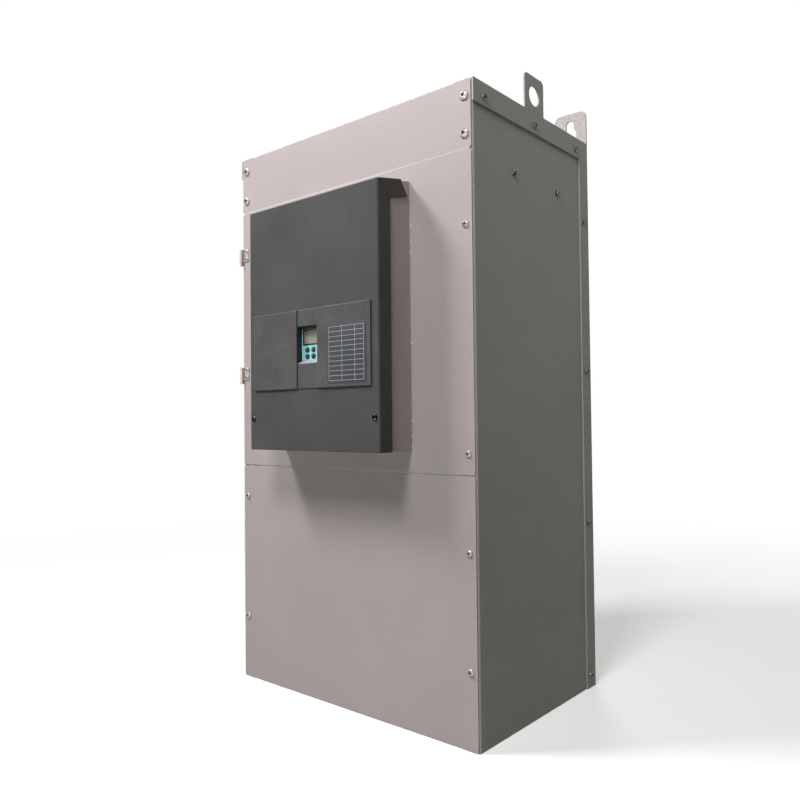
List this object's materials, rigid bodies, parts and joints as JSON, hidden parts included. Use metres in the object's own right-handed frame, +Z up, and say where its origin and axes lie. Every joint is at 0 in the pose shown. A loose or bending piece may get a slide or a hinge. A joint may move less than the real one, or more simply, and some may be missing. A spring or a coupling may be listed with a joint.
{
  "type": "variable speed drive",
  "caption": "Tall wall-mounted variable speed drive: sheet-metal cabinet with a hinged door, a raised dark control cover with keypad, lifting eyes and a thyristor stack inside.",
  "frame": {"origin": "middle of the underside of the whole object's box", "axes": "+X to the right seen from the front, +Y to the back, +Z up"},
  "size_m": [0.4228, 0.3444, 0.807],
  "materials": {
    "painted_grey": "fine-textured powder coat",
    "painted_dark": "dark grey powder coat",
    "zinc_sheet": "zinc-coated sheet",
    "zinc_screw": "bright zinc",
    "black_screw": "black oxide",
    "guard_black": "black coat",
    "fan_plastic": "black glass-filled plastic",
    "heat_sink_aluminium": "plain extruded",
    "module_plastic": "black moulding",
    "copper": "bare copper bar",
    "fuse_ceramic": "fired ceramic body",
    "insulator_resin": "brown-red resin",
    "transformer_resin": "blue cast resin",
    "circuit_board": "green solder mask",
    "terminal_green": "moulded plastic",
    "band_grey": "fine-textured moulding",
    "keypad_teal": "matt moulding",
    "display_glass": "grey-green display",
    "key_dark": "matt rubber"
  },
  "bodies": {
    "cabinet": {"rear_frame": "painted_grey", "side_panel_right": "painted_grey", "side_panel_left": "painted_grey", "lifting_bracket_right": "painted_grey", "lifting_bracket_left": "painted_grey", "top_front_plate": "painted_grey", "lower_cover": "painted_grey", "bottom_plate": "zinc_sheet", "roof_plate": "painted_grey", "front_rails": "zinc_sheet", "fan_shelf": "zinc_sheet", "fan_guards": "guard_black", "fan_housing_left": "fan_plastic", "fan_housing_right": "fan_plastic", "top_plate_screws": "zinc_screw", "lower_cover_screws": "zinc_screw", "side_screws": "zinc_screw", "hinge_frame_leaves": "zinc_screw", "hinge_pins": "zinc_screw", "heat_sink": "heat_sink_aluminium", "heat_sink_rails": "zinc_sheet", "forward_modules": "module_plastic", "reverse_modules": "module_plastic", "ac_busbar_1": "copper", "ac_busbar_2": "copper", "ac_busbar_3": "copper", "line_fuses": "fuse_ceramic", "ac_terminal_1": "copper", "ac_terminal_2": "copper", "ac_terminal_3": "copper", "dc_busbar_positive": "copper", "dc_busbar_negative": "copper", "busbar_spacers": "copper", "terminal_rail": "zinc_sheet", "busbar_insulators": "insulator_resin", "current_transformers": "transformer_resin", "board_carrier": "zinc_sheet", "firing_board": "circuit_board", "interface_board": "circuit_board", "carrier_standoffs": "zinc_screw"},
    "door": {"door_panel": "painted_grey", "control_box": "painted_grey", "control_cover": "painted_dark", "fascia_band": "band_grey", "keypad_housing": "keypad_teal", "keypad_display": "display_glass", "keypad_carrier": "fan_plastic", "control_board": "circuit_board", "control_terminals": "terminal_green", "door_screws": "zinc_screw", "cover_screws": "black_screw", "hinge_door_leaves": "zinc_screw"},
    "fan_left": {"fan_wheel_left": "fan_plastic"},
    "fan_right": {"fan_wheel_right": "fan_plastic"},
    "key_on_cap": {"key_on": "key_dark"},
    "key_off_cap": {"key_off": "key_dark"},
    "key_jog_cap": {"key_jog": "key_dark"},
    "key_up_cap": {"key_up": "key_dark"},
    "key_down_cap": {"key_down": "key_dark"},
    "key_enter_cap": {"key_enter": "key_dark"}
  },
  "joints": [
    {"name": "door_hinge", "type": "hinge", "parent": "cabinet", "child": "door", "pos_m": [-0.207, -0.1137, 0.49], "axis": [0, 0, -1], "range_deg": [0, 120]},
    {"name": "fan_left_spin", "type": "hinge", "parent": "cabinet", "child": "fan_left", "pos_m": [-0.088, 0.0306, 0.725], "axis": [0, 0, 1], "continuous": true},
    {"name": "fan_right_spin", "type": "hinge", "parent": "cabinet", "child": "fan_right", "pos_m": [0.088, 0.0306, 0.725], "axis": [0, 0, 1], "continuous": true},
    {"name": "key_on_press", "type": "slide", "parent": "door", "child": "key_on_cap", "axis": [0, 1, 0], "range_m": [0, 0.0008], "stiffness_N_per_m": 1200},
    {"name": "key_off_press", "type": "slide", "parent": "door", "child": "key_off_cap", "axis": [0, 1, 0], "range_m": [0, 0.0008], "stiffness_N_per_m": 1200},
    {"name": "key_jog_press", "type": "slide", "parent": "door", "child": "key_jog_cap", "axis": [0, 1, 0], "range_m": [0, 0.0008], "stiffness_N_per_m": 1200},
    {"name": "key_up_press", "type": "slide", "parent": "door", "child": "key_up_cap", "axis": [0, 1, 0], "range_m": [0, 0.0008], "stiffness_N_per_m": 1200},
    {"name": "key_down_press", "type": "slide", "parent": "door", "child": "key_down_cap", "axis": [0, 1, 0], "range_m": [0, 0.0008], "stiffness_N_per_m": 1200},
    {"name": "key_enter_press", "type": "slide", "parent": "door", "child": "key_enter_cap", "axis": [0, 1, 0], "range_m": [0, 0.0008], "stiffness_N_per_m": 1200}
  ]
}
